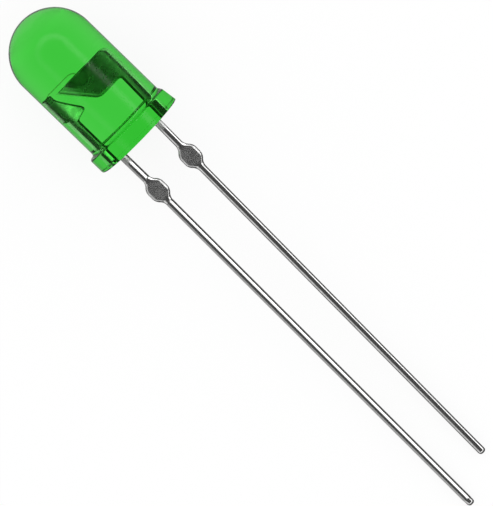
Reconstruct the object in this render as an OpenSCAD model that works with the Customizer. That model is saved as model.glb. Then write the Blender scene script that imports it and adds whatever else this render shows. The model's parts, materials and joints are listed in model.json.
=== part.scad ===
// Through-hole LED in a clear tinted epoxy lens, with its lead frame, reflector cup, chip and
// bond wire inside, lying on a table on its flange and its two lead tips.
//
// Every piece is drawn upright first: the origin is the middle of the lens's underside, +Z runs
// up through the dome, +X points to the cathode and -Y is the side that ends up on top.
// lying() then lays the whole LED down. The lead frame's outlines are drawn in the XZ plane.

/* [Lens] */
// Diameter of the barrel
lens_d = 5; // [4.6:0.1:5.6]
// Height over all, from the underside of the flange to the top of the dome
lens_h = 8.88; // [7.8:0.1:10]
// How far the flange stands out past the barrel, all round
flange_rim = 0.32; // [0.3:0.02:0.6]
// Thickness of the flange
flange_h = 1; // [0.7:0.1:1.4]
// Depth of the flat in the flange beside the cathode, at the underside
flat_depth = 0.1; // [0.08:0.02:0.28]
// Draft on the flat, so that the casting leaves its mould, in degrees
flat_draft = 9; // [0:1:12]
// Radius on the flange's two outer edges
flange_edge_r = 0.1; // [0.04:0.02:0.2]
// Fillet in the corner between the barrel and the flange
root_fillet_r = 0.2; // [0.04:0.02:0.3]

/* [Leads] */
// Distance between the two leads
lead_pitch = 2.54; // [2.4:0.02:2.8]
// Width of a lead
lead_w = 0.42; // [0.38:0.02:0.56]
// Thickness of the sheet that the lead frame is stamped from
sheet_t = 0.44; // [0.36:0.02:0.56]
// Radius of a lead's long edges, which the tin coating rounds off
lead_edge_r = 0.14; // [0.03:0.01:0.15]
// Length of the cathode lead below the flange
cathode_len = 25.4; // [15:0.1:32]
// Length of the anode lead below the flange
anode_len = 26.9; // [15:0.1:34]
// Lean of the cathode lead towards the anode side, in degrees
cathode_lean = 1.2; // [-2:0.1:2]
// Lean of the anode lead away from the cathode, below its stand-off, in degrees
anode_lean = 0.8; // [-1:0.1:2]
// Distance that the lead frame sits off the lens's axis, towards the anode side
frame_offset = 0.02; // [0:0.01:0.15]
// Distance that the anode was pushed outwards, off the leads' even spacing, before casting
anode_shift = 0.14; // [0:0.01:0.2]
// Radius on the corners of a lead's cut end
tip_r = 0.12; // [0.04:0.02:0.18]

/* [Stand-offs] */
// Distance from the flange down to the middle of each stand-off
stop_drop = 2.72; // [1.6:0.02:4]
// Width of a stand-off
stop_w = 1.1; // [0.8:0.02:1.5]
// Length of a stand-off along its lead, with its sloping shoulders
stop_l = 1.46; // [1.1:0.02:2]
// Length of a stand-off's straight sides
stop_side = 0.74; // [0.4:0.02:0.9]
// Radius on the corners of a stand-off
stop_r = 0.12; // [0.04:0.02:0.14]

/* [Anode post] */
// Height of the post's top, where the wire lands, above the underside of the flange
post_top = 5.05; // [4:0.02:5.4]
// Height of the post's wide head, down to the end of its wing's slope
head_h = 1.65; // [1.3:0.01:2]
// How far the head stands out past the outside of its lead
head_out = 0.22; // [0.1:0.02:0.3]
// How far the head's inner top corner stands back from the inside of its lead
head_back = 0.12; // [0.04:0.02:0.2]
// Height of the head's upright inner edge, above the wing's slope
cheek_h = 0.38; // [0.2:0.02:0.6]
// Reach of the wing past the inside of its lead
wing_reach = 0.52; // [0.3:0.02:0.6]
// Height of the wing's blunt tip
wing_tip_h = 0.2; // [0.1:0.02:0.3]
// Height of the wing's sloping underside
wing_drop = 0.18; // [0.1:0.02:0.4]
// Radius on the corners of the wing's tip
wing_r = 0.09; // [0.04:0.01:0.12]

/* [Anvil] */
// Distance from the post's top down to the anvil's top and the cup's rim
anvil_drop = 0.21; // [0.1:0.01:0.4]
// Height of the anvil
anvil_h = 1.82; // [1.3:0.02:2]
// Gap from the anode's head, at its place in the even spacing, to the anvil's nose
nose_gap = 0.18; // [0.1:0.01:0.3]
// Gap from the tip of the wing, at that same place, to the anvil's heel, across the lens
heel_gap = 0.53; // [0.35:0.01:0.8]
// Radius on the anvil's outer top corner
shoulder_r = 0.4; // [0.1:0.02:0.44]
// Small radius that the stamping leaves on the lead frame's other corners
stamp_r = 0.06; // [0.03:0.01:0.1]

/* [Reflector cup] */
// Outer radius, at the anvil's top, of the bowl that is coined out of the anvil
bowl_r = 0.7; // [0.6:0.01:0.74]
// Height of the bowl
bowl_h = 0.74; // [0.6:0.01:0.8]
// Outer radius that the bowl's slope has come down to at its foot
bowl_foot = 0.34; // [0.28:0.01:0.4]
// Radius that rounds the bowl's foot
bowl_foot_r = 0.18; // [0.08:0.01:0.2]
// Width of the cup's rim
rim_w = 0.1; // [0.06:0.01:0.16]
// Depth of the cup
cup_depth = 0.48; // [0.4:0.01:0.5]
// Radius of the cup's flat floor
cup_floor_r = 0.3; // [0.24:0.01:0.34]

/* [Chip] */
// Side of the square chip
chip_w = 0.28; // [0.2:0.01:0.3]
// Height of the chip
chip_h = 0.2; // [0.12:0.01:0.22]
// Thickness of the silver epoxy under the chip
paste_t = 0.03; // [0.02:0.005:0.05]
// Radius of the chip's top contact
contact_r = 0.055; // [0.05:0.005:0.08]
// Thickness of the chip's top contact
contact_t = 0.012; // [0.01:0.002:0.02]

/* [Bond wire] */
// Diameter of the gold wire
wire_d = 0.03; // [0.02:0.005:0.04]
// Height of the wire's level run above the post's top
wire_rise = 0.06; // [0.05:0.01:0.12]
// Radius of the wire's bend above the cup
wire_bend_r = 0.3; // [0.12:0.01:0.34]
// Radius of the ball that is pressed onto the contact
ball_r = 0.045; // [0.035:0.005:0.05]
// Height of the pressed ball
ball_h = 0.025; // [0.015:0.005:0.035]
// Distance from the head's inner top corner to the middle of the stitch
stitch_in = 0.14; // [0.1:0.01:0.2]
// Length of the flattened stitch
stitch_l = 0.12; // [0.08:0.01:0.16]
// Thickness of the flattened stitch
stitch_t = 0.012; // [0.008:0.002:0.016]
// Angle at which the wire comes down to the stitch, in degrees
stitch_angle = 20; // [12:1:30]

/* [Hidden] */
$fn = 64;
arc_steps = 5;                  // straight steps in a small rounded corner
wire_sides = 12;
bend_steps = 6;                 // straight steps in the wire's bend over the cup
fall_steps = 2;                 // and in its bend towards the stitch
slack = 1;                      // how far a cutting block reaches past what it cuts

lens_r = lens_d / 2;
dome_z = lens_h - lens_r;       // where the barrel ends and the dome begins
flange_r = lens_r + flange_rim;

lead_in = (lead_pitch - lead_w) / 2;    // a lead's inner side, from the lead frame's middle
lead_out = (lead_pitch + lead_w) / 2;   // and its outer side

head_z = post_top - head_h;     // the wing's tip and the underside of the head
head_x = -lead_in - head_back;  // the head's upright inner edge
wing_x = -lead_in + wing_reach; // the wing's tip
root_z = head_z - wing_tip_h - wing_drop;       // where its underside meets the lead
anvil_top = post_top - anvil_drop;
anvil_z = anvil_top - anvil_h;
nose_x = head_x + nose_gap;
heel_x = wing_x + heel_gap;
join = 0.4;                     // how far a post's flat outline runs down over its lead
cathode_bend = anvil_z - join / 2;      // where the cathode lead starts to lean
anode_bend = -stop_drop;                // and the anode lead

cup_floor_z = anvil_top - cup_depth;
cup_rim_r = bowl_r - rim_w;
cup_slope = (cup_rim_r - cup_floor_r) / cup_depth;
chip_z = cup_floor_z + paste_t;
contact_z = chip_z + chip_h;
ball_z = contact_z + contact_t;

wire_r = wire_d / 2;
wire_z = post_top + wire_rise;
stitch_x = head_x - anode_shift - stitch_in;
// where the level run ends: one bend and one straight stretch short of the stitch
wire_fall = wire_rise - wire_r - wire_bend_r * (1 - cos(stitch_angle));
level_x = stitch_x + stitch_l / 2 + wire_fall / tan(stitch_angle) + wire_bend_r * sin(stitch_angle);

// The rest pose: the plane that touches the flange's lower rim and both lead tips.
anode_free = anode_len + anode_bend;
cathode_free = cathode_len + cathode_bend;
anode_x = -lead_pitch / 2 - anode_shift - frame_offset - anode_free * sin(anode_lean);
cathode_x = lead_pitch / 2 - frame_offset - cathode_free * sin(cathode_lean);
anode_z = anode_free * cos(anode_lean) - anode_bend;
cathode_z = cathode_free * cos(cathode_lean) - cathode_bend;
slant = (anode_z - cathode_z) / (anode_x - cathode_x);
arm = slant * anode_x - anode_z;
quad_a = arm * arm - pow(flange_r * slant, 2);
quad_b = arm * sheet_t;
quad_c = sheet_t * sheet_t / 4 - flange_r * flange_r;
fall = (-quad_b - sqrt(quad_b * quad_b - 4 * quad_a * quad_c)) / (2 * quad_a);
bank = slant * fall;
rest_roll = atan(bank);
rest_tilt = atan2(-fall, sqrt(1 + bank * bank));
rest_h = flange_r * cos(rest_tilt);
dome_end = dome_z * cos(rest_tilt) + lens_r;
tip_end = anode_z * cos(rest_tilt) + sheet_t / 2 * sin(rest_tilt);

function unit(v) = v / norm(v);

// The points of an arc of radius r that rounds off corner b between a and c
function corner(a, b, c, r) =
    r == 0 ? [b] :
    let (u = unit(a - b), v = unit(c - b), half = acos(u * v) / 2,
         middle = b + unit(u + v) * r / sin(half),
         from = b + u * r / tan(half) - middle,
         to = b + v * r / tan(half) - middle,
         turn = 180 - 2 * half)
    [for (i = [0:arc_steps])
        middle + (from * sin(turn * (1 - i / arc_steps)) + to * sin(turn * i / arc_steps)) / sin(turn)];

// An outline with each corner rounded by its own radius
function rounded(points, radii) =
    let (n = len(points))
    [for (i = [0:n - 1]) each corner(points[(i + n - 1) % n], points[i], points[(i + 1) % n], radii[i])];

// Lays the upright LED down, dome towards +X, on its flange's rim and its two lead tips
module lying() {
    translate([(tip_end - dome_end) / 2, 0, rest_h])
        rotate([0, -rest_tilt, 0]) rotate([-90, 0, -90]) rotate([0, 0, rest_roll]) children();
}

// Puts the lead frame and what it carries at its place in the lens
module in_frame() {
    translate([-frame_offset, 0, 0]) children();
}

// Sheet metal stamped to the outline below, standing in the XZ plane
module stamped() {
    rotate([90, 0, 0]) linear_extrude(height = sheet_t, center = true) children();
}

module quarter_disc(r) {
    intersection() {
        circle(r = r);
        square(r);
    }
}

// ---- lens ----

module lens_profile() {
    polygon(rounded([[0, 0], [flange_r, 0], [flange_r, flange_h], [lens_r, flange_h],
                     [lens_r, dome_z], [0, dome_z]],
                    [0, flange_edge_r, flange_edge_r, root_fillet_r, 0, 0]));
    translate([0, dome_z]) quarter_disc(lens_r);
}

// The cast form, solid right through, with the flat beside the cathode
module lens_form() {
    difference() {
        rotate_extrude() lens_profile();
        translate([flange_r - flat_depth, -flange_r, 0]) rotate([0, -flat_draft, 0])
            translate([0, 0, -slack]) cube([flange_rim + slack, 2 * flange_r, flange_h + 2 * slack]);
    }
}

// ---- lead frame ----

// A lead's section: a square with the edges rounded
module lead_section() {
    x = lead_w / 2;
    y = sheet_t / 2;
    polygon(rounded([[-x, -y], [x, -y], [x, y], [-x, y]], [for (i = [0:3]) lead_edge_r]));
}

// The stand-off: what the cutting tool leaves of the bar that joined the leads
module stop_outline() {
    x = stop_w / 2;
    y = stop_side / 2;
    root = lead_w / 2 - lead_edge_r;
    end = stop_l / 2;
    polygon(rounded([[root, -end], [x, -y], [x, y], [root, end],
                     [-root, end], [-x, y], [-x, -y], [-root, -end]],
                    [for (i = [0:7]) i % 4 == 0 || i % 4 == 3 ? 0 : stop_r]));
}

// The lead's cut end, seen from the front, running up from its tip
module tip_outline(height) {
    x = lead_w / 2;
    polygon(rounded([[-x, 0], [x, 0], [x, height], [-x, height]], [tip_r, tip_r, 0, 0]));
}

// One lead from inside the lens to its tip: upright as far down as the bend, then leaning
module lead(free, lean, bend, top) {
    translate([0, 0, bend]) {
        linear_extrude(height = top - bend) lead_section();
        rotate([0, lean, 0]) {
            translate([0, 0, -free]) intersection() {
                linear_extrude(height = free) lead_section();
                stamped() tip_outline(free + slack);
            }
            translate([0, 0, -stop_drop - bend]) stamped() stop_outline();
        }
    }
}

// The anvil: the plate on the cathode lead that carries the cup
module anvil_outline() {
    polygon(rounded([[nose_x, anvil_top], [lead_out, anvil_top], [lead_out, anvil_z - join],
                     [lead_in, anvil_z - join], [lead_in, anvil_z], [heel_x, anvil_z]],
                    [stamp_r / 2, shoulder_r, 0, 0, 2 * stamp_r, 2 * stamp_r]));
}

// The bowl that stands out from both faces of the anvil
module bowl() {
    rotate_extrude() polygon(rounded(
        [[0, anvil_top - bowl_h], [bowl_foot, anvil_top - bowl_h], [bowl_r, anvil_top], [0, anvil_top]],
        [0, bowl_foot_r, 0, 0]));
}

module cup_cavity() {
    translate([0, 0, cup_floor_z])
        cylinder(h = cup_depth + slack, r1 = cup_floor_r,
                 r2 = cup_floor_r + cup_slope * (cup_depth + slack));
}

// Anvil, cup, stand-off and lead are one stamping
module cathode_form() {
    in_frame() difference() {
        union() {
            stamped() anvil_outline();
            translate([lead_pitch / 2, 0, 0])
                lead(cathode_free, cathode_lean, cathode_bend, anvil_z);
            bowl();
        }
        cup_cavity();
    }
}

// The anode's head, with the wing that points at the anvil
module head_outline() {
    polygon(rounded([[-lead_out - head_out, post_top], [head_x, post_top],
                     [head_x, post_top - cheek_h], [wing_x, head_z],
                     [wing_x, head_z - wing_tip_h], [-lead_in, root_z],
                     [-lead_in, root_z - join], [-lead_out, root_z - join],
                     [-lead_out, head_z], [-lead_out - head_out, head_z]],
                    [stamp_r, stamp_r / 2, 2 * stamp_r, wing_r, wing_r, 2 * stamp_r,
                     0, 0, stamp_r, stamp_r]));
}

module anode_form() {
    in_frame() translate([-anode_shift, 0, 0]) {
        stamped() head_outline();
        translate([-lead_pitch / 2, 0, 0])
            lead(anode_free, anode_lean, anode_bend, root_z - join / 2);
    }
}

// ---- chip ----

// Silver epoxy, level across the cup's floor
module paste_form() {
    in_frame() translate([0, 0, cup_floor_z])
        cylinder(h = paste_t, r1 = cup_floor_r, r2 = cup_floor_r + cup_slope * paste_t);
}

module chip_form() {
    in_frame() translate([-chip_w / 2, -chip_w / 2, chip_z]) cube([chip_w, chip_w, chip_h]);
}

module contact_form() {
    in_frame() translate([0, 0, contact_z]) cylinder(h = contact_t, r = contact_r);
}

// ---- bond wire ----

// A solid skinned over rings that all have as many points, from the first ring to the last
module skinned(rings) {
    sides = len(rings[0]);
    last = len(rings) - 1;
    polyhedron(
        points = [for (ring = rings) each ring],
        faces = concat(
            [[for (i = [0:sides - 1]) i]],
            [for (row = [0:last - 1], i = [0:sides - 1])
                let (here = row * sides, next = (i + 1) % sides)
                [here + i, here + sides + i, here + sides + next, here + next]],
            [[for (i = [0:sides - 1]) last * sides + sides - 1 - i]]));
}

// One ring of the wire, square to its heading in the XZ plane; flat sides face up and down
function wire_ring(x, z, heading, half_t, half_w) =
    [for (i = [0:wire_sides - 1])
        let (a = (i + 0.5) * 360 / wire_sides, up = half_t * cos(a) / cos(180 / wire_sides))
        [x - up * sin(heading), -half_w * sin(a), z + up * cos(heading)]];

// Ball on the contact, neck, bend, level run, bend down and stitch on the anode post
wire_rings = concat(
    [wire_ring(0, ball_z, 90, 0.8 * ball_r, 0.8 * ball_r),
     wire_ring(0, ball_z + 0.4 * ball_h, 90, ball_r, ball_r),
     wire_ring(0, ball_z + ball_h, 90, 0.8 * ball_r, 0.8 * ball_r),
     wire_ring(0, ball_z + 2 * ball_h, 90, wire_r, wire_r)],
    [for (i = [0:bend_steps])
        let (a = 90 * i / bend_steps)
        wire_ring(wire_bend_r * (cos(a) - 1), wire_z - wire_bend_r * (1 - sin(a)), 90 + a,
                  wire_r, wire_r)],
    [for (i = [0:fall_steps])
        let (a = stitch_angle * i / fall_steps)
        wire_ring(level_x - wire_bend_r * sin(a), wire_z - wire_bend_r * (1 - cos(a)), 180 + a,
                  wire_r, wire_r)],
    [wire_ring(stitch_x + stitch_l / 2, post_top + wire_r, 180 + stitch_angle / 2, wire_r, wire_r),
     wire_ring(stitch_x, post_top + stitch_t / 2, 180, stitch_t / 2, wire_d),
     wire_ring(stitch_x - stitch_l / 2, post_top + stitch_t / 2, 180, stitch_t / 2, wire_d)]);

module wire_form() {
    in_frame() skinned(wire_rings);
}

// ---- the LED's pieces as they lie ----

// Cast round everything that it holds, so its inside fits each piece face to face
module epoxy_lens() {
    color([0.2, 0.8, 0.22, 0.5]) lying() difference() {
        lens_form();
        cathode_form();
        anode_form();
        paste_form();
        chip_form();
        contact_form();
        wire_form();
    }
}

module cathode_lead() {
    color("silver") lying() cathode_form();
}

module anode_lead() {
    color("gainsboro") lying() anode_form();
}

module die_attach() {
    color("gray") lying() paste_form();
}

module led_chip() {
    color("darkseagreen") lying() chip_form();
}

module chip_contact() {
    color("gold") lying() contact_form();
}

module bond_wire() {
    color("goldenrod") lying() wire_form();
}

epoxy_lens();
cathode_lead();
anode_lead();
die_attach();
led_chip();
chip_contact();
bond_wire();
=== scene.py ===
# Through-hole LED, clear green tinted, lying on a pale table on its flange and its two lead tips.
# Each piece is modelled upright in millimetres, with the origin in the middle of the lens's
# underside, +Z up through the dome, +X towards the cathode and -Y the side that ends up on top.
# It is then laid down at its place in the frame.
import bpy, json, math
from mathutils import Matrix, Vector


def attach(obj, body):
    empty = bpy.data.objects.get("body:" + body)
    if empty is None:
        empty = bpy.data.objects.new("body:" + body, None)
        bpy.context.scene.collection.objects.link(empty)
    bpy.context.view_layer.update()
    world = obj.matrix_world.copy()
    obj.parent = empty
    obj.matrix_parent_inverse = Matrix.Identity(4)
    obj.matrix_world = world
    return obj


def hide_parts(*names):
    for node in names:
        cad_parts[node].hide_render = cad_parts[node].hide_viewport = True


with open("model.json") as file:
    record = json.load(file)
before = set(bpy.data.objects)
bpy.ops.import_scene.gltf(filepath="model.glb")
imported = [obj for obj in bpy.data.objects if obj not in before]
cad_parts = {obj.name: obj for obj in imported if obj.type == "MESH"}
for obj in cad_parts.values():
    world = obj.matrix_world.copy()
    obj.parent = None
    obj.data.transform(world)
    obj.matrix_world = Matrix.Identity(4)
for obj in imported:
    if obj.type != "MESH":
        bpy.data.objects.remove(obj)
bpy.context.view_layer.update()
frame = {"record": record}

# ---------------------------------------------------------------- camera
# A long lens looks straight down on the lamp from 302 mm above the table, turned so that the
# dome points to the upper left.
MM = 0.001
view_height = 302.0
view_centre = (0.466, 0.528)
view_turn = -135.84
focal = 395.4

bpy.ops.object.camera_add(location=(view_centre[0] * MM, view_centre[1] * MM, view_height * MM),
                          rotation=(0, 0, math.radians(view_turn)))
camera = bpy.context.object
camera.data.lens = focal
camera.data.sensor_width = 36
bpy.context.scene.camera = camera

# ---------------------------------------------------------------- lens
# The real lens is a clear green tinted epoxy, cast in a polished mould cup round the lead frame.
# It is solid right through, with a flange at its foot and a flat beside the cathode.
lens_r = 2.5
lens_h = 8.88
dome_z = lens_h - lens_r
flange_r = 2.82
flange_h = 1.0
flat_x = 2.72
flat_draft = 9
flange_edge = 0.1
flange_foot = 0.14
foot_front = 0.1        # the share of the foot's rounding that the front and back have
root_fillet = 0.2
strip = 0.03            # a narrow band beside an arc, which keeps the flat next to it flat
under_strip = 0.02
first_r = 1.2           # the circle that the profile is drawn out from
above_fillet = 0.4      # from the flange's top to the first ring of the straight barrel


def srgb(hex_colour, alpha=1.0):
    """A written sRGB colour as the linear one that a socket takes."""
    parts = [int(hex_colour[i:i + 2], 16) / 255 for i in (0, 2, 4)]
    return tuple(c / 12.92 if c <= 0.04045 else ((c + 0.055) / 1.055) ** 2.4 for c in parts) + (alpha,)


def add_node(tree, kind, settings=None, **links):
    """Adds one node, with settings on it and values or links on its input sockets."""
    n = tree.nodes.new(kind)
    for name, value in (settings or {}).items():
        setattr(n, name, value)
    for name, value in links.items():
        by_number = name[0] == "i" and name[1:].isdigit()
        socket = n.inputs[int(name[1:])] if by_number else n.inputs[name.replace("_", " ")]
        if isinstance(value, bpy.types.NodeSocket):
            tree.links.new(value, socket)
        else:
            socket.default_value = value
    return n


def new_material(name):
    """An empty node material and its output node."""
    m = bpy.data.materials.new(name)
    m.use_nodes = True
    m.node_tree.nodes.clear()
    return m, m.node_tree, m.node_tree.nodes.new("ShaderNodeOutputMaterial")


def edit_fresh(name):
    """Names the primitive just added and opens it for editing, with all of it selected."""
    o = bpy.context.object
    o.name = name
    o.data.name = name
    bpy.ops.object.mode_set(mode="EDIT")
    bpy.ops.mesh.select_all(action="SELECT")
    return o


def pick(o, kind, test):
    """Selects, in edit mode, the vertices, edges or faces whose middle (and normal) pass the test."""
    bpy.ops.mesh.select_mode(type={"v": "VERT", "e": "EDGE", "f": "FACE"}[kind])
    bpy.ops.mesh.select_all(action="DESELECT")
    bpy.ops.object.mode_set(mode="OBJECT")
    me = o.data
    if kind == "v":
        for v in me.vertices:
            v.select = bool(test(v.co))
    elif kind == "e":
        for e in me.edges:
            a, b = (me.vertices[i].co for i in e.vertices)
            e.select = bool(test(a, b))
    else:
        for f in me.polygons:
            f.select = bool(test(f.center, f.normal))
    bpy.ops.object.mode_set(mode="EDIT")


def lay(o):
    """Puts a piece modelled upright in millimetres at its place in the frame, in its own mesh."""
    mounts = {m["name"]: m for m in frame["record"]["mounts"]}
    up = Vector(mounts["lens_barrel"]["axis"]).normalized()
    to_cathode = Vector(mounts["cathode_pin"]["pos_m"]) - Vector(mounts["anode_pin"]["pos_m"])
    x = (to_cathode - up * to_cathode.dot(up)).normalized()
    y = up.cross(x)
    place = Matrix((x, y, up)).transposed().to_4x4()
    place.translation = Vector(mounts["flange_underside"]["pos_m"])
    o.matrix_world = place @ Matrix.Scale(MM, 4)
    bpy.ops.object.select_all(action="DESELECT")
    o.select_set(True)
    bpy.context.view_layer.objects.active = o
    bpy.ops.object.transform_apply(location=True, rotation=True, scale=True)


def smooth(o, degrees):
    """Shades the rounded edges smooth and keeps the flats flat right up to them."""
    bpy.ops.object.select_all(action="DESELECT")
    o.select_set(True)
    bpy.context.view_layer.objects.active = o
    bpy.ops.object.shade_smooth_by_angle(angle=math.radians(degrees))
    flats = o.modifiers.new("flats", "WEIGHTED_NORMAL")
    flats.keep_sharp = True
    bpy.ops.object.modifier_apply(modifier="flats")


def arc(cx, cz, r, start, end, steps):
    """Points (radius, height) of an arc in the lens's profile, angles in degrees."""
    return [(cx + r * math.cos(math.radians(start + (end - start) * i / steps)),
             cz + r * math.sin(math.radians(start + (end - start) * i / steps)))
            for i in range(steps + 1)]


bpy.ops.object.select_all(action="DESELECT")
bpy.ops.mesh.primitive_circle_add(vertices=192, radius=first_r, fill_type="NGON", location=(0, 0, 0))
lens = edit_fresh("lens")
# the profile, ring by ring: underside, flange, fillet, barrel and dome
rings = [(flange_r - flange_foot - under_strip, 0)]
rings += arc(flange_r - flange_foot, flange_foot, flange_foot, -90, 0, 8)
rings += [(flange_r, flange_foot + strip), (flange_r, flange_h - flange_edge - strip)]
rings += arc(flange_r - flange_edge, flange_h - flange_edge, flange_edge, 0, 90, 5)
rings += arc(lens_r + root_fillet, flange_h + root_fillet, root_fillet, 270, 180, 24)
barrel_z = flange_h + above_fillet
rings += [(lens_r, barrel_z + (dome_z - barrel_z) * i / 8) for i in range(8)]
rings += arc(0, dome_z, lens_r, 0, 88, 44)
r, front_r, z = first_r, first_r, 0
for next_r, next_z in rings:
    # the foot is rounded at the lens's two sides, and almost sharp between them
    next_front = flange_r - (flange_r - next_r) * foot_front if next_z < flange_foot + 0.01 else next_r
    bpy.ops.mesh.extrude_region_move(TRANSFORM_OT_translate={"value": (0, 0, next_z - z)})
    bpy.ops.transform.resize(value=(next_r / r, next_front / front_r, 1), center_override=(0, 0, next_z))
    r, front_r, z = next_r, next_front, next_z
bpy.ops.mesh.extrude_region_move(TRANSFORM_OT_translate={"value": (0, 0, lens_h - z)})
bpy.ops.mesh.merge(type="CENTER")
bpy.ops.mesh.select_all(action="SELECT")
bpy.ops.mesh.remove_doubles(threshold=1e-5)
bpy.ops.mesh.normals_make_consistent(inside=False)
# the flat beside the cathode, cut through the flange only
pick(lens, "f", lambda c, n: c.z < flange_h + root_fillet)
cut = math.radians(flat_draft)
bpy.ops.mesh.bisect(plane_co=(flat_x, 0, 0), plane_no=(math.cos(cut), 0, math.sin(cut)),
                    use_fill=True, clear_outer=True, threshold=1e-5)
bpy.ops.mesh.select_all(action="SELECT")
bpy.ops.mesh.remove_doubles(threshold=1e-5)
bpy.ops.object.mode_set(mode="OBJECT")
bpy.ops.object.shade_smooth_by_angle(angle=math.radians(30))
lay(lens)

# cast epoxy, clear green tinted: polished by the mould, so it mirrors sharply, with a faint ripple
epoxy, tree, out = new_material("cast_epoxy_green_tint")
where = add_node(tree, "ShaderNodeTexCoord")
ripple = add_node(tree, "ShaderNodeTexNoise", Vector=where.outputs["Object"], Scale=900, Detail=2)
bump = add_node(tree, "ShaderNodeBump", Height=ripple.outputs["Fac"], Strength=0.02, Distance=0.00002)
clear = add_node(tree, "ShaderNodeBsdfPrincipled", Base_Color=srgb("ffffff"), Roughness=0.015, IOR=1.54,
                 Transmission_Weight=1.0, Specular_Tint=srgb("959595"), Normal=bump.outputs["Normal"])
tint = add_node(tree, "ShaderNodeVolumeAbsorption", Color=(0.109, 0.835, 0.098, 1), Density=670)
tree.links.new(clear.outputs[0], out.inputs["Surface"])
tree.links.new(tint.outputs[0], out.inputs["Volume"])
lens.data.materials.append(epoxy)
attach(lens, "root")
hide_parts("epoxy_lens")

# ---------------------------------------------------------------- cathode lead
# Stamped from tinned iron sheet: lead, stand-off and the anvil with its coined reflector cup are
# one piece. The tin rounds the stamped edges.
sheet_t = 0.44
lead_w = 0.42
lead_pitch = 2.54
frame_shift = -0.02
stop_drop = 2.72
stop_w = 1.1
stop_side = 0.74
stop_l = 1.46
stop_r = 0.2
heel_r = 0.2
shoulder_r = 0.4
crook_r = 0.13          # the inner corner between the anvil and its lead
lead_roll = 0.15        # how wide the press rolls the edges over
top_roll = 0.03         # and at the anvil's top
roll_flatness = 2.4
roll_profile = 0.32
tip_r = 0.157
cathode_len = 25.4
cathode_lean = 1.2
anvil_top = 4.84
anvil_z = 3.02
nose_x = -1.0
heel_x = -0.01
cathode_bend = 2.82
bowl_r, bowl_foot, bowl_h = 0.7, 0.34, 0.74
bowl_foot_r, bowl_rim_r, bowl_blend = 0.16, 0.03, 0.07
bowl_band = 0.09        # how far from the bowl's cone the edge round it may lie
# how far out from the sheet the bowl's edge is rubbed, and from where its side is rougher and painted
# darker as painted shade
rub_end, dull_and_shade_from = 0.12, 0.1
cup_rim, cup_floor, cup_depth = 0.6, 0.3, 0.48
cup_over = 1            # how far the cone that cuts the cup stands out of it


def level(z, x_scale=1.0, about=0.0):
    """Draws the selected face down to height z and widens or narrows it about a lead's middle."""
    now = bpy.context.object
    bpy.ops.object.mode_set(mode="OBJECT")
    here = [v.co.z for v in now.data.vertices if v.select][0]
    bpy.ops.object.mode_set(mode="EDIT")
    bpy.ops.mesh.extrude_region_move(TRANSFORM_OT_translate={"value": (0, 0, z - here)})
    if x_scale != 1.0:
        bpy.ops.transform.resize(value=(x_scale, 1, 1), center_override=(about, 0, z))


def shift(o, test, by):
    """Moves the vertices that pass the test."""
    pick(o, "v", test)
    bpy.ops.transform.translate(value=by)


def draw_lead(middle, length):
    """Draws the selected face down through the stand-off to the lead's tip."""
    wide = stop_w / lead_w
    level(-stop_drop + stop_l / 2)
    level(-stop_drop + stop_side / 2, wide, middle)
    level(-stop_drop)
    level(-stop_drop - stop_side / 2)
    level(-stop_drop - stop_l / 2, 1 / wide, middle)
    level(-length)


def lean_below(o, x, z, degrees):
    """Leans all of a lead below height z outwards, about its middle there."""
    pick(o, "v", lambda c: c.z < z - 0.01)
    bpy.ops.transform.rotate(value=-math.radians(degrees), orient_axis="Y", center_override=(x, 0, z))


def round_corners(o, spots, radius, steps=4):
    """Rounds corners of the stamped outline: the edges through the sheet nearest to the spots."""
    def near(a, b):
        through = abs(a.x - b.x) < 1e-4 and abs(a.z - b.z) < 1e-4
        return through and any(abs(a.x - x) + abs(a.z - z) < 0.03 for x, z in spots)
    pick(o, "e", near)
    bpy.ops.mesh.bevel(offset=radius, offset_type="OFFSET", segments=steps, affect="EDGES",
                       clamp_overlap=True)


def roll_edges(o, width_at, corner=0.02):
    """Rolls the outline's edges over as the stamping press does, wide across the sheet's faces and
    shallow into its thickness. width_at gives the roll's width at a place of the outline."""
    bpy.ops.mesh.select_mode(type="EDGE")
    bpy.ops.mesh.select_all(action="DESELECT")
    bpy.ops.mesh.edges_select_sharp(sharpness=math.radians(50))
    bpy.ops.object.mode_set(mode="OBJECT")
    me = o.data
    weight = me.attributes.new("bevel_weight_edge", "FLOAT", "EDGE")
    for e in me.edges:
        p, q = (me.vertices[i].co for i in e.vertices)
        if e.select:
            on_face = abs(p.y - q.y) < 1e-4
            weight.data[e.index].value = width_at((p.x + q.x) / 2, (p.z + q.z) / 2) if on_face else corner
    bpy.ops.object.mode_set(mode="EDIT")
    bpy.ops.mesh.select_all(action="SELECT")
    bpy.ops.transform.resize(value=(1, roll_flatness, 1), center_override=(0, 0, 0))
    bpy.ops.object.mode_set(mode="OBJECT")
    roll = o.modifiers.new("roll", "BEVEL")
    roll.limit_method, roll.width, roll.segments, roll.profile = "WEIGHT", 1.0, 6, roll_profile
    roll.use_clamp_overlap = False
    bpy.ops.object.modifier_apply(modifier="roll")
    bpy.ops.object.mode_set(mode="EDIT")
    bpy.ops.mesh.select_all(action="SELECT")
    bpy.ops.transform.resize(value=(1, 1 / roll_flatness, 1), center_override=(0, 0, 0))
    bpy.ops.mesh.dissolve_limited(angle_limit=math.radians(0.5))
    bpy.ops.mesh.vert_connect_concave()


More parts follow.
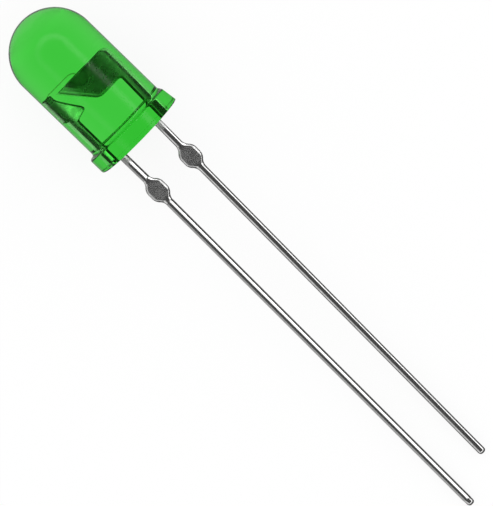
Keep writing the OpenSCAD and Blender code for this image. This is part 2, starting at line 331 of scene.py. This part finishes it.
bpy.ops.object.select_all(action="DESELECT")
root_x = lead_pitch / 2 + frame_shift
in_x, out_x = root_x - lead_w / 2, root_x + lead_w / 2
bpy.ops.mesh.primitive_cube_add(size=1, location=((heel_x + out_x) / 2, 0, (anvil_z + anvil_top) / 2),
                                scale=(out_x - heel_x, sheet_t, anvil_top - anvil_z))
bpy.ops.object.transform_apply(location=True, rotation=True, scale=True)
cathode = edit_fresh("cathode")
shift(cathode, lambda c: c.x < 0.1 and c.z > 4, (nose_x + frame_shift - heel_x, 0, 0))
bpy.ops.mesh.select_all(action="SELECT")
bpy.ops.mesh.bisect(plane_co=(in_x, 0, 0), plane_no=(1, 0, 0))
pick(cathode, "f", lambda c, n: n.z < -0.9 and c.x > in_x)
level(cathode_bend)
draw_lead(root_x, cathode_len)
stop_z = [-stop_drop + s * stop_side / 2 for s in (1, -1)]
stop_x = [root_x + s * stop_w / 2 for s in (1, -1)]
round_corners(cathode, [(out_x, anvil_top)], shoulder_r, 8)
round_corners(cathode, [(in_x, anvil_z)], crook_r)
round_corners(cathode, [(heel_x, anvil_z)], heel_r)
round_corners(cathode, [(x, z) for x in stop_x for z in stop_z], stop_r)
round_corners(cathode, [(x, -stop_drop + s * stop_l / 2) for x in (in_x, out_x) for s in (1, -1)], stop_r)
round_corners(cathode, [(in_x, -cathode_len), (out_x, -cathode_len)], tip_r)


def cathode_roll(x, z):
    """The same all round, but fading away over the shoulder to the anvil's coined top."""
    up_it, out_along = z - anvil_top + shoulder_r, x - out_x + shoulder_r
    from_side = math.degrees(math.atan2(max(0, up_it), max(0.001, out_along)))
    return lead_roll - (lead_roll - top_roll) * from_side / 90 if z > anvil_z + 0.6 else lead_roll


roll_edges(cathode, cathode_roll)
lean_below(cathode, root_x, cathode_bend, cathode_lean)
bpy.ops.object.mode_set(mode="OBJECT")

# the coined bowl and the cup in it
bpy.ops.object.select_all(action="DESELECT")
bpy.ops.mesh.primitive_cone_add(vertices=64, radius1=bowl_foot, radius2=bowl_r, depth=bowl_h,
                                location=(frame_shift, 0, anvil_top - bowl_h / 2))
bowl = edit_fresh("bowl")
pick(bowl, "e", lambda a, b: a.z < 0 and b.z < 0)
bpy.ops.mesh.bevel(offset=bowl_foot_r, segments=5, affect="EDGES")
pick(bowl, "e", lambda a, b: a.z > 0.3 and b.z > 0.3)
bpy.ops.mesh.bevel(offset=bowl_rim_r, segments=3, affect="EDGES")
bpy.ops.object.mode_set(mode="OBJECT")
cup_slope = (cup_rim - cup_floor) / cup_depth
bpy.ops.mesh.primitive_cone_add(vertices=64, radius1=cup_floor, radius2=cup_rim + cup_slope * cup_over,
                                depth=cup_depth + cup_over,
                                location=(frame_shift, 0, anvil_top + (cup_over - cup_depth) / 2))
cup = bpy.context.object
cup.name = "cup"
for tool, operation in ((bowl, "UNION"), (cup, "DIFFERENCE")):
    bpy.context.view_layer.objects.active = cathode
    joint = cathode.modifiers.new("joint", "BOOLEAN")
    joint.operation, joint.object, joint.solver = operation, tool, "MANIFOLD"
    bpy.ops.object.modifier_apply(modifier="joint")
    bpy.data.objects.remove(tool)
bpy.ops.object.mode_set(mode="EDIT")


def on_bowl_edge(p):
    """True where the bowl's side comes out of a face of the sheet, below the rim."""
    bowl_here = bowl_r - (anvil_top - p.z) * (bowl_r - bowl_foot) / bowl_h
    on_face = abs(abs(p.y) - sheet_t / 2) < 1e-4 and p.z < anvil_top - 0.04
    return on_face and abs(math.hypot(p.x - frame_shift, p.y) - bowl_here) < bowl_band


pick(cathode, "e", lambda a, b: on_bowl_edge(a) and on_bowl_edge(b))
bpy.ops.mesh.bevel(offset=bowl_blend, offset_type="OFFSET", segments=4, affect="EDGES", clamp_overlap=True)
bpy.ops.object.mode_set(mode="OBJECT")
# where the bowl stands well out of the sheet, below its rim, the press stretches the tin rougher, and it
# is painted darker there as painted shade; the bowl's edge is rubbed
dull_and_painted_shade = cathode.data.attributes.new("dull_and_painted_shade", "FLOAT", "POINT")
rubbed = cathode.data.attributes.new("rubbed", "FLOAT", "POINT")
for v in cathode.data.vertices:
    proud = abs(v.co.y) - sheet_t / 2
    rubbed.data[v.index].value = 1.0 if 0.0005 < proud < rub_end and v.co.z < anvil_top - 0.04 else 0.0
    dull_and_painted_shade.data[v.index].value = 1.0 if proud > dull_and_shade_from and v.co.z < anvil_top - 0.01 else 0.0
smooth(cathode, 32)
lay(cathode)

# tin over iron sheet, drawn and stamped: bright on the leads with fine lines along them, and matt
# where the press has struck it, on the stand-offs and inside the lens. It is rougher where the bowl
# stands out, and painted darker there as painted shade, rubbed along the bowl's edge, and dull where
# the epoxy has crept out round the leads' roots. The lines are drawn about 40 microns apart, as
# coarse as they need to show.
lead_slope = 5.8        # of the lying leads, in degrees
# places and runs along the frame's X axis, in metres
stop_at, stop_matt, stop_bright = 0.00626, 0.0005, 0.0007
root_at, creep_full, creep_end = 0.00865, 0.0002, 0.00045
inside_from, inside_to, inside_matt = 0.0112, 0.0118, 1.3


def reckon(tree, operation, *values):
    """A maths node's result for the given values or sockets."""
    return add_node(tree, "ShaderNodeMath", {"operation": operation},
                    **{"i%d" % i: value for i, value in enumerate(values)}).outputs[0]


def fade(tree, value, start, end, low, high, kind="LINEAR"):
    """Takes the stretch of a value from start to end to the one from low to high."""
    return add_node(tree, "ShaderNodeMapRange", {"interpolation_type": kind}, Value=value,
                    From_Min=start, From_Max=end, To_Min=low, To_Max=high).outputs[0]


tin, tree, out = new_material("tinned_iron_sheet")
where = add_node(tree, "ShaderNodeTexCoord")
along = add_node(tree, "ShaderNodeMapping", Vector=where.outputs["Object"],
                 Rotation=(0, math.radians(lead_slope), 0), Scale=(300, 24000, 24000))
lines = add_node(tree, "ShaderNodeTexNoise", Vector=along.outputs[0], Scale=1, Detail=3)
clouds = add_node(tree, "ShaderNodeTexNoise", Vector=where.outputs["Object"], Scale=3500, Detail=1)
place_x = add_node(tree, "ShaderNodeSeparateXYZ", Vector=where.outputs["Object"]).outputs["X"]
dull_and_shaded = add_node(tree, "ShaderNodeAttribute", {"attribute_name": "dull_and_painted_shade"})
edge = add_node(tree, "ShaderNodeAttribute", {"attribute_name": "rubbed"})
from_stop = reckon(tree, "ABSOLUTE", reckon(tree, "SUBTRACT", place_x, stop_at))
from_root = reckon(tree, "ABSOLUTE", reckon(tree, "SUBTRACT", place_x, root_at))
pressed = reckon(tree, "MAXIMUM", fade(tree, from_stop, stop_matt, stop_bright, 1.0, 0.0),
                 fade(tree, place_x, inside_from, inside_to, 0.0, inside_matt))
duller = reckon(tree, "MAXIMUM", dull_and_shaded.outputs["Fac"],
                fade(tree, from_root, creep_full, creep_end, 1.0, 0.0))
# the bright tin's roughness, and what each mark adds to it
rough = 0.06
for mark, more in ((pressed, 0.1), (clouds.outputs["Fac"], 0.2), (duller, 0.25),
                   (edge.outputs["Fac"], 0.55)):
    rough = reckon(tree, "MULTIPLY_ADD", mark, more, rough)
cloudy = add_node(tree, "ShaderNodeMix", {"data_type": "RGBA"}, Factor=clouds.outputs["Fac"],
                  i6=srgb("ffffff"), i7=srgb("c8c8c6"))
# painted shade: a darker tin where the bowl stands out of the sheet, below its rim
colour = add_node(tree, "ShaderNodeMix", {"data_type": "RGBA"}, Factor=dull_and_shaded.outputs["Fac"],
                  i6=cloudy.outputs[2], i7=srgb("bababa"))
# the press has flattened the draw lines where it struck
bump = add_node(tree, "ShaderNodeBump", Height=lines.outputs["Fac"], Distance=0.000004,
                Strength=reckon(tree, "MULTIPLY_ADD", pressed, -0.08, 0.14))
metal = add_node(tree, "ShaderNodeBsdfPrincipled", Base_Color=colour.outputs[2], Metallic=1.0,
                 Roughness=rough, Normal=bump.outputs["Normal"])
tree.links.new(metal.outputs[0], out.inputs["Surface"])
cathode.data.materials.clear()
cathode.data.materials.append(tin)
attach(cathode, "root")
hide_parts("cathode_lead")

# ---------------------------------------------------------------- anode lead
# The second half of the lead frame, stamped from the same tinned sheet: the longer lead, its
# stand-off, and the post whose head takes the wire and whose wing points at the anvil.
anode_len = 26.9
anode_lean = 0.8
anode_shift = -0.14
lead_turn = 15
turned_share = 0.94     # of its width, so that the turned section stays in the CAD's box
turn_run = 0.12
turned_runs = ((-1.78, 0.1), (-anode_len + 0.45, -3.66))
head_r, wing_r, hollow_r = 0.1, 0.096, 0.115
head_roll = 0.095
inner_root, outer_root = 2.94, 3.29     # where the narrower roll begins on either side
post_top = 5.05
head_z = 3.4
head_out = 0.22
head_back = 0.12
cheek_h = 0.38
wing_reach = 0.52
wing_tip_h = 0.2
wing_drop = 0.18

bpy.ops.object.select_all(action="DESELECT")
root_x = -lead_pitch / 2 + frame_shift + anode_shift
in_x, out_x = root_x + lead_w / 2, root_x - lead_w / 2
cheek_x = in_x - head_back
wing_x = in_x + wing_reach
bpy.ops.mesh.primitive_cube_add(size=1, location=((out_x + cheek_x) / 2, 0, post_top - cheek_h / 2),
                                scale=(cheek_x - out_x, sheet_t, cheek_h))
bpy.ops.object.transform_apply(location=True, rotation=True, scale=True)
anode = edit_fresh("anode")
pick(anode, "f", lambda c, n: n.z < -0.99)
level(head_z)
shift(anode, lambda c: c.x > out_x + 0.1 and c.z < head_z + 0.01, (wing_x - cheek_x, 0, 0))
pick(anode, "f", lambda c, n: n.z < -0.99)
level(head_z - wing_tip_h)
wing_end = head_z - wing_tip_h - wing_drop
level(wing_end)
shift(anode, lambda c: c.x > out_x + 0.1 and c.z < wing_end + 0.01, (in_x - wing_x, 0, 0))
pick(anode, "f", lambda c, n: n.z < -0.99)
draw_lead(root_x, anode_len)
pick(anode, "f", lambda c, n: n.x < -0.9 and c.z > head_z)
bpy.ops.mesh.extrude_region_move(TRANSFORM_OT_translate={"value": (-head_out, 0, 0)})
stop_x = [root_x + s * stop_w / 2 for s in (1, -1)]
head_x = out_x - head_out
round_corners(anode, [(cheek_x, post_top), (head_x, post_top), (head_x, head_z)], head_r)
round_corners(anode, [(wing_x, head_z), (wing_x, head_z - wing_tip_h)], wing_r)
round_corners(anode, [(cheek_x, post_top - cheek_h), (in_x, wing_end), (out_x, head_z)], hollow_r)
round_corners(anode, [(x, z) for x in stop_x for z in stop_z], stop_r)
round_corners(anode, [(x, -stop_drop + s * stop_l / 2) for x in (in_x, out_x) for s in (1, -1)], stop_r)
round_corners(anode, [(in_x, -anode_len), (out_x, -anode_len)], tip_r)


def anode_roll(x, z):
    """Narrower round the small head and wing than along the lead."""
    root = inner_root if x > root_x else outer_root
    return lead_roll - (lead_roll - head_roll) * min(1, max(0, (z - root) / 0.1))


roll_edges(anode, anode_roll)
# cutting the leads free from their strip has turned this one a little, except at the stand-off
for bottom, top in turned_runs:
    for z in (bottom - turn_run, bottom, top, top + turn_run):
        bpy.ops.mesh.select_all(action="SELECT")
        bpy.ops.mesh.bisect(plane_co=(0, 0, z), plane_no=(0, 0, 1))
    pick(anode, "v", lambda c: bottom - 0.01 < c.z < top + 0.01)
    bpy.ops.transform.rotate(value=-math.radians(lead_turn), orient_axis="Z",
                             center_override=(root_x, 0, 0))
    bpy.ops.transform.resize(value=(turned_share, turned_share, 1), center_override=(root_x, 0, 0))
lean_below(anode, root_x, -stop_drop, anode_lean)
bpy.ops.object.mode_set(mode="OBJECT")
smooth(anode, 32)
lay(anode)
anode.data.materials.append(tin)
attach(anode, "root")
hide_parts("anode_lead")

# ---------------------------------------------------------------- die attach
# Silver-filled epoxy that holds the chip and carries its current. It is dispensed wet, so it lies
# level over the cup's floor and creeps up round the foot of the chip.
cup_floor_z = anvil_top - cup_depth
paste_t = 0.03
paste_gap = 0.002
paste_flat = 0.05
paste_creep, creep_start = 0.022, 0.006

bpy.ops.object.select_all(action="DESELECT")
bpy.ops.mesh.primitive_cylinder_add(vertices=48, radius=cup_floor - paste_gap, depth=paste_t,
                                    location=(frame_shift, 0, cup_floor_z + paste_t / 2))
bpy.ops.object.transform_apply(location=True, rotation=True, scale=True)
paste = edit_fresh("paste")
pick(paste, "f", lambda c, n: n.z > 0.9)
bpy.ops.mesh.inset(thickness=paste_flat)
for thickness, rise in ((0.02, creep_start), (0.012, paste_creep - creep_start)):
    bpy.ops.mesh.inset(thickness=thickness)
    bpy.ops.transform.translate(value=(0, 0, rise))
pick(paste, "e", lambda a, b: abs(a.z - b.z) < 1e-5 and a.z > cup_floor_z + paste_t + paste_creep - 0.001
     and math.hypot(a.x - frame_shift, a.y) > 0.1)
bpy.ops.mesh.bevel(offset=0.005, segments=3, affect="EDGES")
bpy.ops.object.mode_set(mode="OBJECT")
smooth(paste, 50)
lay(paste)

# silver-filled epoxy, cured: matt pale grey, grainy with its flakes, which are drawn 20 microns wide
silver, tree, out = new_material("silver_filled_epoxy")
where = add_node(tree, "ShaderNodeTexCoord")
flakes = add_node(tree, "ShaderNodeTexVoronoi", Vector=where.outputs["Object"], Scale=50000)
colour = add_node(tree, "ShaderNodeMix", {"data_type": "RGBA"}, Factor=flakes.outputs["Distance"],
                  i6=srgb("d2d0ca"), i7=srgb("8f8d88"))
bump = add_node(tree, "ShaderNodeBump", Height=flakes.outputs["Distance"], Strength=0.4, Distance=0.000004)
flaky = add_node(tree, "ShaderNodeBsdfPrincipled", Base_Color=colour.outputs[2], Metallic=0.6,
                 Roughness=0.5, Normal=bump.outputs["Normal"])
tree.links.new(flaky.outputs[0], out.inputs["Surface"])
paste.data.materials.append(silver)
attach(paste, "root")
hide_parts("die_attach")

# ---------------------------------------------------------------- chip
# The light-emitting chip: a dice of gallium phosphide, sawn out of its wafer, with a mesa etched
# round its top that bounds the junction. It is stuck down into the paste.
chip_w = 0.28
chip_h = 0.2
mesa_h, mesa_in, mesa_taper = 0.03, 0.016, 0.95
chip_edge = 0.005
chip_z = cup_floor_z + paste_t

bpy.ops.object.select_all(action="DESELECT")
bpy.ops.mesh.primitive_cube_add(size=1, location=(frame_shift, 0, chip_z + (chip_h - mesa_h) / 2),
                                scale=(chip_w, chip_w, chip_h - mesa_h))
bpy.ops.object.transform_apply(location=True, rotation=True, scale=True)
chip = edit_fresh("chip")
pick(chip, "f", lambda c, n: n.z > 0.9)
bpy.ops.mesh.inset(thickness=mesa_in)
bpy.ops.mesh.extrude_region_move(TRANSFORM_OT_translate={"value": (0, 0, mesa_h)})
bpy.ops.transform.resize(value=(mesa_taper, mesa_taper, 1),
                         center_override=(frame_shift, 0, chip_z + chip_h))
pick(chip, "e", lambda a, b: abs(a.z - b.z) > 0.01 or min(a.z, b.z) > chip_z + chip_h - 0.001)
bpy.ops.mesh.bevel(offset=chip_edge, segments=2, affect="EDGES")
bpy.ops.object.mode_set(mode="OBJECT")
smooth(chip, 35)
lay(chip)

# gallium phosphide: amber, with a grain of saw marks, drawn about 17 microns apart
crystal, tree, out = new_material("gallium_phosphide")
where = add_node(tree, "ShaderNodeTexCoord")
saw = add_node(tree, "ShaderNodeTexNoise", Vector=where.outputs["Object"], Scale=60000, Detail=2)
colour = add_node(tree, "ShaderNodeMix", {"data_type": "RGBA"}, Factor=saw.outputs["Fac"],
                  i6=srgb("d89a3c"), i7=srgb("9a6420"))
bump = add_node(tree, "ShaderNodeBump", Height=saw.outputs["Fac"], Strength=0.2, Distance=0.000002)
cut = add_node(tree, "ShaderNodeBsdfPrincipled", Base_Color=colour.outputs[2], Roughness=0.25, IOR=2.4,
               Normal=bump.outputs["Normal"])
tree.links.new(cut.outputs[0], out.inputs["Surface"])
chip.data.materials.append(crystal)
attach(chip, "root")
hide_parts("led_chip")

# ---------------------------------------------------------------- chip contact
# The round gold pad on the middle of the chip's top, evaporated there through a mask. The wire's
# ball is welded to it.
contact_r = 0.055
contact_t = 0.012
contact_edge = 0.003
rim_rise = 0.002
contact_z = chip_z + chip_h

bpy.ops.object.select_all(action="DESELECT")
bpy.ops.mesh.primitive_cylinder_add(vertices=32, radius=contact_r, depth=contact_t,
                                    location=(frame_shift, 0, contact_z + contact_t / 2))
bpy.ops.object.transform_apply(location=True, rotation=True, scale=True)
contact = edit_fresh("contact")
pick(contact, "f", lambda c, n: n.z > 0.9)
bpy.ops.mesh.inset(thickness=0.006, depth=rim_rise)
bpy.ops.mesh.inset(thickness=0.012, depth=-rim_rise)
pick(contact, "e", lambda a, b: min(a.z, b.z) > contact_z + contact_t - 0.001
     and all(math.hypot(p.x - frame_shift, p.y) > contact_r - 0.0005 for p in (a, b)))
bpy.ops.mesh.bevel(offset=contact_edge, segments=2, affect="EDGES")
bpy.ops.object.mode_set(mode="OBJECT")
smooth(contact, 40)
lay(contact)

# gold: soft, bright and warm, evaporated on the pad and drawn to wire. Its dimples are drawn about
# 25 microns wide.
gold, tree, out = new_material("fine_gold")
where = add_node(tree, "ShaderNodeTexCoord")
dimples = add_node(tree, "ShaderNodeTexNoise", Vector=where.outputs["Object"], Scale=40000, Detail=2)
shade = add_node(tree, "ShaderNodeMapRange", Value=dimples.outputs["Fac"], To_Min=0.12, To_Max=0.3)
colour = add_node(tree, "ShaderNodeMix", {"data_type": "RGBA"}, Factor=dimples.outputs["Fac"],
                  i6=srgb("f7cf7a"), i7=srgb("d9a441"))
bump = add_node(tree, "ShaderNodeBump", Height=dimples.outputs["Fac"], Strength=0.15, Distance=0.000002)
bright_gold = add_node(tree, "ShaderNodeBsdfPrincipled", Base_Color=colour.outputs[2], Metallic=1.0,
                       Roughness=shade.outputs[0], Normal=bump.outputs["Normal"])
tree.links.new(bright_gold.outputs[0], out.inputs["Surface"])
contact.data.materials.append(gold)
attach(contact, "root")
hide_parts("chip_contact")

# ---------------------------------------------------------------- bond wire
# Gold wire 30 microns thick. Its end is melted to a ball and pressed on the contact, it is bent
# over towards the anode's head, and there it is stitched flat on the top.
wire_r = 0.015
ball_r = 0.045
ball_h = 0.025
ball_foot = 0.7         # the share of the ball's radius that is pressed flat on the contact
# the rest of the ball, as shares of its radius and height, up to where the wire leaves it
ball_profile = ((0.93, 0.2), (1.0, 0.45), (0.93, 0.75), (0.7, 0.97), (0.45, 1.15), (wire_r / ball_r, 1.6))
wire_bend = 0.3
wire_z = post_top + 0.06
stitch_x = cheek_x - 0.14
stitch_l = 0.12
stitch_t = 0.012
stitch_wide = 1.7
stitch_fall = math.radians(20)

ball_z = contact_z + contact_t
bpy.ops.object.select_all(action="DESELECT")
bpy.ops.mesh.primitive_circle_add(vertices=16, radius=ball_foot * ball_r, fill_type="NGON",
                                  location=(frame_shift, 0, ball_z))
bpy.ops.object.transform_apply(location=True, rotation=True, scale=True)
wire = edit_fresh("wire")
r, z = ball_foot * ball_r, ball_z
for share, height in ball_profile:
    next_r, next_z = share * ball_r, ball_z + height * ball_h
    bpy.ops.mesh.extrude_region_move(TRANSFORM_OT_translate={"value": (0, 0, next_z - z)})
    bpy.ops.transform.resize(value=(next_r / r, next_r / r, 1), center_override=(frame_shift, 0, next_z))
    r, z = next_r, next_z
bpy.ops.mesh.extrude_region_move(TRANSFORM_OT_translate={"value": (0, 0, wire_z - wire_bend - z)})


def bend_wire(centre, angle, steps):
    """Bends the wire's selected end on, about a centre in its plane, towards the anode."""
    bpy.ops.mesh.spin(steps=steps, angle=angle, center=centre, axis=(0, 1, 0))


fall_h = wire_z - post_top - wire_r - wire_bend * (1 - math.cos(stitch_fall))
fall_run = fall_h / math.tan(stitch_fall)
level_x = stitch_x + stitch_l / 2 + fall_run + wire_bend * math.sin(stitch_fall)
bend_wire((frame_shift - wire_bend, 0, wire_z - wire_bend), math.pi / 2, 12)
level_run = level_x - frame_shift + wire_bend
bpy.ops.mesh.extrude_region_move(TRANSFORM_OT_translate={"value": (level_run, 0, 0)})
bend_wire((level_x, 0, wire_z - wire_bend), stitch_fall, 4)
bpy.ops.mesh.extrude_region_move(TRANSFORM_OT_translate={"value": (-fall_run, 0, -fall_h)})
# the stitch, pressed wide and flat
for wide in (stitch_wide, 1.0):
    bpy.ops.mesh.extrude_region_move(TRANSFORM_OT_translate={"value": (-stitch_l / 2, 0, 0)})
    bpy.ops.transform.resize(value=(1, wide, stitch_t / (2 * wire_r) if wide > 1 else 1),
                             center_override=(stitch_x, 0, post_top))
bpy.ops.mesh.select_all(action="SELECT")
bpy.ops.mesh.remove_doubles(threshold=1e-6)
bpy.ops.mesh.normals_make_consistent(inside=False)
bpy.ops.object.mode_set(mode="OBJECT")
smooth(wire, 60)
lay(wire)
wire.data.materials.append(gold)
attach(wire, "root")
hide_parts("bond_wire")

# ---------------------------------------------------------------- table and light
# A matt white table top, and a white tent of light round it with the dark opening that the
# camera looks through.
bpy.ops.object.select_all(action="DESELECT")
bpy.ops.mesh.primitive_plane_add(size=0.6, location=(0, 0, 0))
table = bpy.context.object
table.name = "table"
board, tree, out = new_material("matt_white_board")
path = add_node(tree, "ShaderNodeLightPath")
paint = add_node(tree, "ShaderNodeBsdfDiffuse", Color=srgb("ffffff"))
# a painted pool of light: the board glows most round the lamp, and less a few millimetres to either
# side, but only for mirrors and the view through the lens. The camera sees it a plain white, and a
# mirror sees the painted glow dimmer than the lens does.
pool_in, pool_out, pool_low = 0.003, 0.006, 0.2
mirror_dim = 0.6
plain_white = 0.88
where = add_node(tree, "ShaderNodeTexCoord")
aside = reckon(tree, "ABSOLUTE",
               add_node(tree, "ShaderNodeSeparateXYZ", Vector=where.outputs["Object"]).outputs["Y"])
straight = path.outputs["Is Camera Ray"]
mirrored, through = path.outputs["Is Glossy Ray"], path.outputs["Is Transmission Ray"]
# the painted pool of light, full everywhere for the camera
painted_light_pool = reckon(tree, "MAXIMUM", fade(tree, aside, pool_in, pool_out, 1.0, pool_low, "SMOOTHSTEP"), straight)
only_mirrored = reckon(tree, "GREATER_THAN", mirrored, through)
bright = reckon(tree, "MULTIPLY", painted_light_pool, reckon(tree, "MULTIPLY_ADD", only_mirrored, -mirror_dim, 1.0))
glow = add_node(tree, "ShaderNodeEmission", Color=srgb("ffffff"), Strength=bright)
both = reckon(tree, "MAXIMUM", reckon(tree, "MAXIMUM", mirrored, through),
              reckon(tree, "MULTIPLY", straight, plain_white))
mix = add_node(tree, "ShaderNodeMixShader", i0=both, i1=paint.outputs[0], i2=glow.outputs[0])
tree.links.new(mix.outputs[0], out.inputs["Surface"])
table.data.materials.append(board)

world = bpy.data.worlds.new("light_tent")
bpy.context.scene.world = world
world.use_nodes = True
tree = world.node_tree
tree.nodes.clear()
out = tree.nodes.new("ShaderNodeOutputWorld")
where = add_node(tree, "ShaderNodeTexCoord")
part = add_node(tree, "ShaderNodeSeparateXYZ", Vector=where.outputs["Generated"])

# a ring of light between 27 and 54 degrees off straight up, weak on the anode's side
ring_out, ring_wide, ring_narrow, ring_in = 0.588, 0.731, 0.766, 0.891   # cosines of 54, 43, 40 and 27
ring_light, tent_dark = 2.2, 0.055
weak_share, weak_from, weak_to = 0.35, 0.45, -0.1
up, right = part.outputs["Z"], part.outputs["Y"]
ring = reckon(tree, "MULTIPLY", fade(tree, up, ring_out, ring_wide, 0.0, 1.0, "SMOOTHSTEP"),
              fade(tree, up, ring_in, ring_narrow, 0.0, 1.0, "SMOOTHSTEP"))
round_it = fade(tree, right, weak_from, weak_to, weak_share, 1.0, "SMOOTHSTEP")
tent_light = reckon(tree, "MULTIPLY_ADD", reckon(tree, "MULTIPLY", ring, round_it), ring_light, tent_dark)
path = add_node(tree, "ShaderNodeLightPath")
plain = add_node(tree, "ShaderNodeMix", {"data_type": "FLOAT"}, i0=path.outputs["Is Glossy Ray"],
                 i2=1.0, i3=tent_light)
tent = add_node(tree, "ShaderNodeBackground", Color=srgb("ffffff"), Strength=plain.outputs[0])
tree.links.new(tent.outputs[0], out.inputs["Surface"])

bpy.context.scene.view_settings.view_transform = "Standard"
